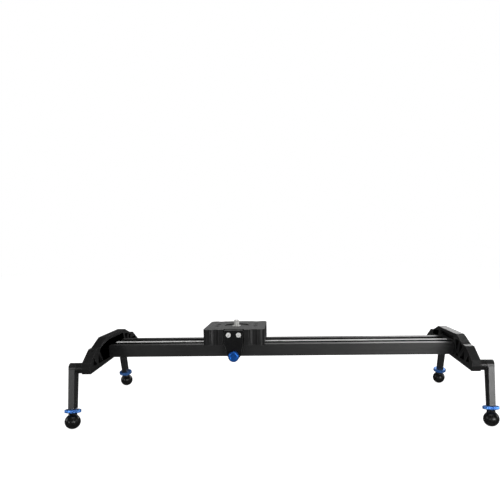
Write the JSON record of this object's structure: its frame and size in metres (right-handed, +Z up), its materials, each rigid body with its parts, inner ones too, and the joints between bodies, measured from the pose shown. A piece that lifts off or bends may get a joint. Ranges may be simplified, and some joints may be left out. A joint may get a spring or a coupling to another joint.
{
  "type": "camera slider",
  "caption": "Camera slider: black aluminium track with a roller carriage, camera stud and side lock, on bow-shaped end brackets with folding legs and ball feet.",
  "frame": {"origin": "on the ground under the middle of the track", "axes": "+X along the track, +Z up, -Y towards the lock knob"},
  "size_m": [0.688, 0.276, 0.1558],
  "materials": {
    "track_black": "black anodised extrusion, fine satin along its length",
    "guide_steel": "polished steel guide strip",
    "cast_black": "die casting with fine matte black powder coat",
    "leg_grey": "dark grey satin coat over cast aluminium",
    "carriage_black": "machined block, bead blasted and black anodised",
    "clamp_black": "machined block, black anodised",
    "screw_black": "black oxide steel",
    "screw_bright": "bright zinc plated steel",
    "stud_bright": "bright steel, 3/8 inch coarse thread",
    "roller_steel": "hardened and ground bearing steel",
    "nut_blue": "blue anodised aluminium, knurled",
    "rod_steel": "bright zinc plated threaded rod",
    "ball_rubber": "black moulded rubber, slightly glossy",
    "pad_brass": "plain brass",
    "washer_black": "black acetal friction washer"
  },
  "bodies": {
    "root": {"track_extrusion": "track_black", "guide_strip": "guide_steel", "tripod_bush": "rod_steel", "bracket_left": "cast_black", "bracket_right": "cast_black", "bracket_screws_left": "screw_black", "bracket_screws_right": "screw_black", "pivot_washers": "washer_black", "pivot_bolt_front_left": "screw_black", "pivot_bolt_front_right": "screw_black", "pivot_bolt_back_left": "screw_black", "pivot_bolt_back_right": "screw_black"},
    "carriage": {"carriage_body": "carriage_black", "camera_stud": "stud_bright", "stud_nut": "rod_steel", "roller_inner_rings": "roller_steel", "roller_spacers": "rod_steel", "roller_bolts": "screw_black", "roller_nuts": "rod_steel", "clamp_block": "clamp_black", "clamp_screws": "screw_bright"},
    "lock": {"lock_knob": "nut_blue", "lock_screw": "rod_steel"},
    "pad": {"brake_pad": "pad_brass"},
    "leg_front_left": {"leg_front_left": "leg_grey"},
    "foot_front_left": {"foot_rod_front_left": "rod_steel", "foot_ball_front_left": "ball_rubber"},
    "nut_front_left": {"lock_nut_front_left": "nut_blue"},
    "roller_front_left": {"roller_front_left": "roller_steel"},
    "leg_front_right": {"leg_front_right": "leg_grey"},
    "foot_front_right": {"foot_rod_front_right": "rod_steel", "foot_ball_front_right": "ball_rubber"},
    "nut_front_right": {"lock_nut_front_right": "nut_blue"},
    "roller_front_right": {"roller_front_right": "roller_steel"},
    "leg_back_left": {"leg_back_left": "leg_grey"},
    "foot_back_left": {"foot_rod_back_left": "rod_steel", "foot_ball_back_left": "ball_rubber"},
    "nut_back_left": {"lock_nut_back_left": "nut_blue"},
    "roller_back_left": {"roller_back_left": "roller_steel"},
    "leg_back_right": {"leg_back_right": "leg_grey"},
    "foot_back_right": {"foot_rod_back_right": "rod_steel", "foot_ball_back_right": "ball_rubber"},
    "nut_back_right": {"lock_nut_back_right": "nut_blue"},
    "roller_back_right": {"roller_back_right": "roller_steel"}
  },
  "joints": [
    {"name": "carriage_slide", "type": "slide", "parent": "root", "child": "carriage", "axis": [1, 0, 0], "range_m": [-0.166, 0.325]},
    {"name": "lock_knob_turn", "type": "hinge", "parent": "carriage", "child": "lock", "pos_m": [-0.0795, -0.06, 0.1006], "axis": [0, 1, 0], "range_deg": [0, 180]},
    {"name": "brake_pad_press", "type": "slide", "parent": "carriage", "child": "pad", "axis": [0, 1, 0], "range_m": [0, 0.00041]},
    {"name": "leg_fold_front_left", "type": "hinge", "parent": "root", "child": "leg_front_left", "pos_m": [-0.3315, -0.1084, 0.0948], "axis": [1, 0, 0], "range_deg": [0, 102]},
    {"name": "foot_height_front_left", "type": "slide", "parent": "leg_front_left", "child": "foot_front_left", "axis": [0, -0.2079, -0.9781], "range_m": [0, 0.01]},
    {"name": "lock_nut_turn_front_left", "type": "hinge", "parent": "foot_front_left", "child": "nut_front_left", "pos_m": [-0.3315, -0.12254, 0.02829], "axis": [0, -0.2079, -0.9781], "continuous": true},
    {"name": "roller_spin_front_left", "type": "hinge", "parent": "carriage", "child": "roller_front_left", "pos_m": [-0.1135, -0.0104, 0.1155], "axis": [0, 0, 1], "continuous": true},
    {"name": "leg_fold_front_right", "type": "hinge", "parent": "root", "child": "leg_front_right", "pos_m": [0.3315, -0.1084, 0.0948], "axis": [1, 0, 0], "range_deg": [0, 102]},
    {"name": "foot_height_front_right", "type": "slide", "parent": "leg_front_right", "child": "foot_front_right", "axis": [0, -0.2079, -0.9781], "range_m": [0, 0.01]},
    {"name": "lock_nut_turn_front_right", "type": "hinge", "parent": "foot_front_right", "child": "nut_front_right", "pos_m": [0.3315, -0.12254, 0.02829], "axis": [0, -0.2079, -0.9781], "continuous": true},
    {"name": "roller_spin_front_right", "type": "hinge", "parent": "carriage", "child": "roller_front_right", "pos_m": [-0.0455, -0.0104, 0.1155], "axis": [0, 0, 1], "continuous": true},
    {"name": "leg_fold_back_left", "type": "hinge", "parent": "root", "child": "leg_back_left", "pos_m": [-0.3315, 0.1084, 0.0948], "axis": [-1, 0, 0], "range_deg": [0, 102]},
    {"name": "foot_height_back_left", "type": "slide", "parent": "leg_back_left", "child": "foot_back_left", "axis": [0, 0.2079, -0.9781], "range_m": [0, 0.01]},
    {"name": "lock_nut_turn_back_left", "type": "hinge", "parent": "foot_back_left", "child": "nut_back_left", "pos_m": [-0.3315, 0.12254, 0.02829], "axis": [0, 0.2079, -0.9781], "continuous": true},
    {"name": "roller_spin_back_left", "type": "hinge", "parent": "carriage", "child": "roller_back_left", "pos_m": [-0.1135, 0.0104, 0.1155], "axis": [0, 0, 1], "continuous": true},
    {"name": "leg_fold_back_right", "type": "hinge", "parent": "root", "child": "leg_back_right", "pos_m": [0.3315, 0.1084, 0.0948], "axis": [-1, 0, 0], "range_deg": [0, 102]},
    {"name": "foot_height_back_right", "type": "slide", "parent": "leg_back_right", "child": "foot_back_right", "axis": [0, 0.2079, -0.9781], "range_m": [0, 0.01]},
    {"name": "lock_nut_turn_back_right", "type": "hinge", "parent": "foot_back_right", "child": "nut_back_right", "pos_m": [0.3315, 0.12254, 0.02829], "axis": [0, 0.2079, -0.9781], "continuous": true},
    {"name": "roller_spin_back_right", "type": "hinge", "parent": "carriage", "child": "roller_back_right", "pos_m": [-0.0455, 0.0104, 0.1155], "axis": [0, 0, 1], "continuous": true}
  ],
  "couplings": [
    {"joint": "brake_pad_press", "follows": "lock_knob_turn", "m_per_rad": 0.00012732},
    {"joint": "roller_spin_front_left", "follows": "carriage_slide", "rad_per_m": 172.41},
    {"joint": "roller_spin_front_right", "follows": "carriage_slide", "rad_per_m": 172.41},
    {"joint": "roller_spin_back_left", "follows": "carriage_slide", "rad_per_m": -172.41},
    {"joint": "roller_spin_back_right", "follows": "carriage_slide", "rad_per_m": -172.41}
  ]
}
